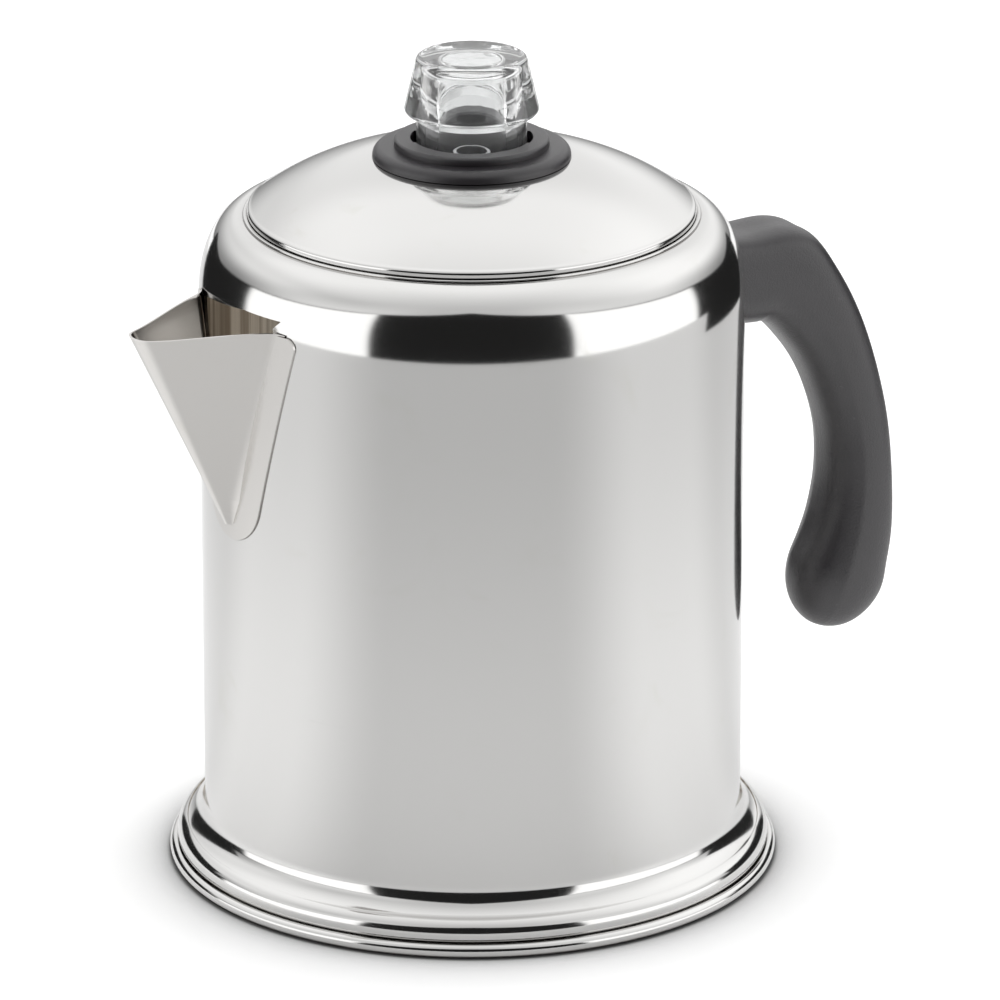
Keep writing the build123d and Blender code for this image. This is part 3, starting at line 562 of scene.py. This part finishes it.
def below_tent(tree, turn):
    """The card, the side lights, the flags and the light behind the pot."""
    box = calc(tree, "MULTIPLY", ramp(tree, turn, CARD_HALF - CARD_SOFT, CARD_HALF + CARD_SOFT),
               ramp(tree, turn, BOX_END + BOX_SOFT, BOX_END - BOX_SOFT))
    behind = ramp(tree, turn, FLAG_END - FLAG_SOFT, FLAG_END + FLAG_SOFT)
    light = calc(tree, "ADD", calc(tree, "MULTIPLY", box, BOX_LIGHT),
                 calc(tree, "MULTIPLY", behind, BEHIND_LIGHT))
    return calc(tree, "MAXIMUM", light, DARK)


def tent(tree, ahead, signed, height, turn, rise):
    """The tent's light well above its edge: brighter to the back and sides, dimmer to the left."""
    lifted = calc(tree, "MAXIMUM", height, LEAST_HEIGHT)
    on_ahead = calc(tree, "DIVIDE", ahead, lifted)
    on_right = calc(tree, "DIVIDE", signed, lifted)
    on_side = calc(tree, "ABSOLUTE", on_right)
    light = ramp(tree, on_ahead, *TENT_FROM_FRONT, TENT_FRONT_LIGHT, TENT_BACK_LIGHT)
    light = calc(tree, "MULTIPLY", light, ramp(tree, on_side, *TENT_TO_SIDE, 1.0, TENT_SIDE_GAIN))
    light = calc(tree, "MULTIPLY", light, ramp(tree, on_right, *TENT_TO_RIGHT, TENT_LEFT_GAIN, 1.0))
    low_back = blend(tree, ramp(tree, rise, *LOW_RISE), ramp(tree, turn, *LOW_TURN, 1.0, LOW_GAIN), 1.0)
    return calc(tree, "MULTIPLY", light, low_back)


def tent_edge(tree, turn, signed):
    """The light of the tent just above its lower edge."""
    left_turn = calc(tree, "ADD", turn, ramp(tree, signed, *LEFT_TO_RIGHT, LEFT_SKEW, 0.0))
    return calc(tree, "MINIMUM", ramp(tree, turn, *EDGE_FRONT_TURN, TENT_FRONT_LIGHT, 1.0),
                ramp(tree, left_turn, *EDGE_BACK_TURN, 1.0, EDGE_BACK_LIGHT))


def build_world():
    world = bpy.data.worlds.new("studio")
    bpy.context.scene.world = world
    world.use_nodes = True
    tree = world.node_tree
    tree.nodes.clear()
    direction = add(tree, "ShaderNodeTexCoord").outputs["Generated"]
    ahead, signed = across_view(tree, direction)
    height = add(tree, "ShaderNodeSeparateXYZ", {0: direction}).outputs[2]
    turn = angle(tree, calc(tree, "ABSOLUTE", signed), ahead)
    rise = angle(tree, height, length(tree, ahead, signed))

    edge_rise = calc(tree, "SUBTRACT", TENT_RISE, calc(tree, "MULTIPLY", turn, TENT_DROP))
    over = calc(tree, "SUBTRACT", rise, edge_rise)
    above = blend(tree, ramp(tree, over, 0.0, TENT_FADE), tent_edge(tree, turn, signed),
                  tent(tree, ahead, signed, height, turn, rise))
    light = blend(tree, ramp(tree, over, -TENT_SOFT, TENT_SOFT), below_tent(tree, turn), above)
    gap = ramp(tree, calc(tree, "ABSOLUTE", over), *GAP, GAP_LIGHT, 1.0)
    light = blend(tree, ramp(tree, turn, *GAP_TURN), light, calc(tree, "MULTIPLY", light, gap))

    seen = add(tree, "ShaderNodeLightPath").outputs["Is Camera Ray"]
    strength = blend(tree, seen, light, SEEN_WORLD)
    back = add(tree, "ShaderNodeBackground", {0: grey(1.0), 1: strength})
    output = add(tree, "ShaderNodeOutputWorld")
    tree.links.new(back.outputs[0], output.inputs[0])


def stage_piece(name, points, faces, material):
    """A mesh of the studio, which isn't part of the object."""
    mesh = bpy.data.meshes.new(name)
    mesh.from_pydata(points, [], faces)
    mesh.materials.append(material)
    made = bpy.data.objects.new(name, mesh)
    bpy.context.scene.collection.objects.link(made)
    return made


def disc(name, radius, height, material, steps=96):
    turns = [2 * pi * i / steps for i in range(steps)]
    return stage_piece(name, [(radius * cos(t), radius * sin(t), height) for t in turns],
                       [tuple(range(steps))], material)


def hide_from(piece, *rays):
    for ray in rays:
        setattr(piece, "visible_" + ray, False)


def floor_material():
    """Pale paper: nearly white to the camera with a shadow close to the pot, and brighter toward the side
    lights in everything that mirrors it."""
    made, tree = new_material("floor_paper")
    spot = place(tree)
    ahead, signed = across_view(tree, spot)
    turn = angle(tree, calc(tree, "ABSOLUTE", signed), ahead)
    fibre = noise(tree, spot, 400.0, 3.0, 0.6)
    shade = ramp(tree, turn, *TO_BOX_TURN, MIRRORED_FRONT, MIRRORED_SIDE)
    shade = blend(tree, ramp(tree, turn, *TO_FLAG_TURN), shade, MIRRORED_BY_FLAG)
    shade = blend(tree, ramp(tree, turn, *TO_BEHIND_TURN), shade, MIRRORED_SIDE)
    reach = ramp(tree, length(tree, ahead, signed), *FLOOR_REACH, FLOOR_NEAR_GAIN, FLOOR_FAR_GAIN)
    shade = calc(tree, "MULTIPLY", shade, reach)
    shade = calc(tree, "MULTIPLY", shade, ramp(tree, fibre, 0.3, 0.7, 0.985, 1.0))
    hidden = add(tree, "ShaderNodeAmbientOcclusion", {"Distance": SHADOW_REACH}, samples=16).outputs["AO"]
    hidden = ramp(tree, hidden, *SHADOW_OPEN, SHADOW_DARKEST, 1.0, smooth=False)
    seen = add(tree, "ShaderNodeLightPath").outputs["Is Camera Ray"]
    value = blend(tree, seen, shade, calc(tree, "MULTIPLY", hidden, SEEN_FLOOR))
    colour = add(tree, "ShaderNodeCombineColor", {0: value, 1: value, 2: value}).outputs[0]
    shown(tree, add(tree, "ShaderNodeBsdfDiffuse", {0: colour, "Normal": bumped(tree, fibre, 0.02 * MM)}))
    return made


def far_floor_material():
    made, tree = new_material("far_floor")
    shown(tree, add(tree, "ShaderNodeEmission", {0: grey(1.0), 1: SEEN_WORLD}))
    return made


def flag_material():
    made, tree = new_material("flag_cloth")
    weave = ramp(tree, noise(tree, place(tree), 300.0), 0.3, 0.7, 0.8 * DARK, 1.2 * DARK)
    shown(tree, add(tree, "ShaderNodeEmission", {0: grey(1.0), 1: weave}))
    return made


def build_floor():
    disc("floor", FLOOR_R, 0.0, floor_material())
    far = disc("far_floor", FAR_FLOOR_R, FAR_FLOOR_Z, far_floor_material())
    hide_from(far, "glossy", "diffuse", "transmission", "shadow")


def build_flags():
    """Low dark cards behind the pot on both sides, which the pot mirrors and the camera doesn't see."""
    cloth = flag_material()
    faces = [(2 * i, 2 * i + 2, 2 * i + 3, 2 * i + 1) for i in range(FLAG_STEPS)]
    for side in (-1, 1):
        points = []
        for i in range(FLAG_STEPS + 1):
            turn = radians(FLAG_START + (FLAG_END - FLAG_START) * i / FLAG_STEPS)
            foot = (TOWARD * cos(turn) + SIDEWAYS * (side * sin(turn))) * FLAG_R
            points += [foot, foot + Vector((0, 0, FLAG_HEIGHT))]
        flag = stage_piece("flag", points, faces, cloth)
        hide_from(flag, "camera", "diffuse", "transmission", "shadow")


def small_lamp(name, place_mm, looks, width, height, glow):
    """Rectangular lamp, placed and sized in mm, that the camera doesn't see."""
    data = bpy.data.lights.new(name, "AREA")
    data.shape = "RECTANGLE"
    data.size = width * MM
    data.size_y = height * MM
    data.color = LAMP_COLOUR
    data.energy = glow * pi * data.size * data.size_y
    lamp = bpy.data.objects.new(name, data)
    lamp.location = Vector(place_mm) * MM
    lamp.rotation_euler = Vector(looks).to_track_quat("-Z", "Y").to_euler()
    lamp.visible_camera = False
    bpy.context.scene.collection.objects.link(lamp)


def light_pot_inside():
    """Lamps between the basket and the wall, for the light that the spout's mouth lets in."""
    small_lamp("wall_lamp", *WALL_LAMP)
    small_lamp("mouth_lamp", *MOUTH_LAMP)


def build_camera():
    data = bpy.data.cameras.new("camera")
    data.lens = CAMERA_LENS
    data.sensor_width = SENSOR_WIDTH
    data.clip_end = FARTHEST_SEEN
    camera = bpy.data.objects.new("camera", data)
    camera.location = CAMERA_PLACE
    camera.rotation_euler = CAMERA_LOOKS.to_track_quat("-Z", "Y").to_euler()
    bpy.context.scene.collection.objects.link(camera)
    bpy.context.scene.camera = camera


def set_bounces():
    """Enough mirror bounces to light the inside of the spout, the pot and the knob."""
    light = bpy.context.scene.cycles
    light.max_bounces = 20
    light.glossy_bounces = 14
    light.transmission_bounces = 16
    light.transparent_max_bounces = 8


def set_tone():
    view = bpy.context.scene.view_settings
    view.view_transform = "Standard"
    view.look = "None"
    view.exposure = 0.0
    view.gamma = 1.0


dress_nodes()
build_pot_shell()
build_base_cap()
build_lid()
light_pot_inside()
build_world()
build_floor()
build_flags()
build_camera()
set_bounces()
set_tone()
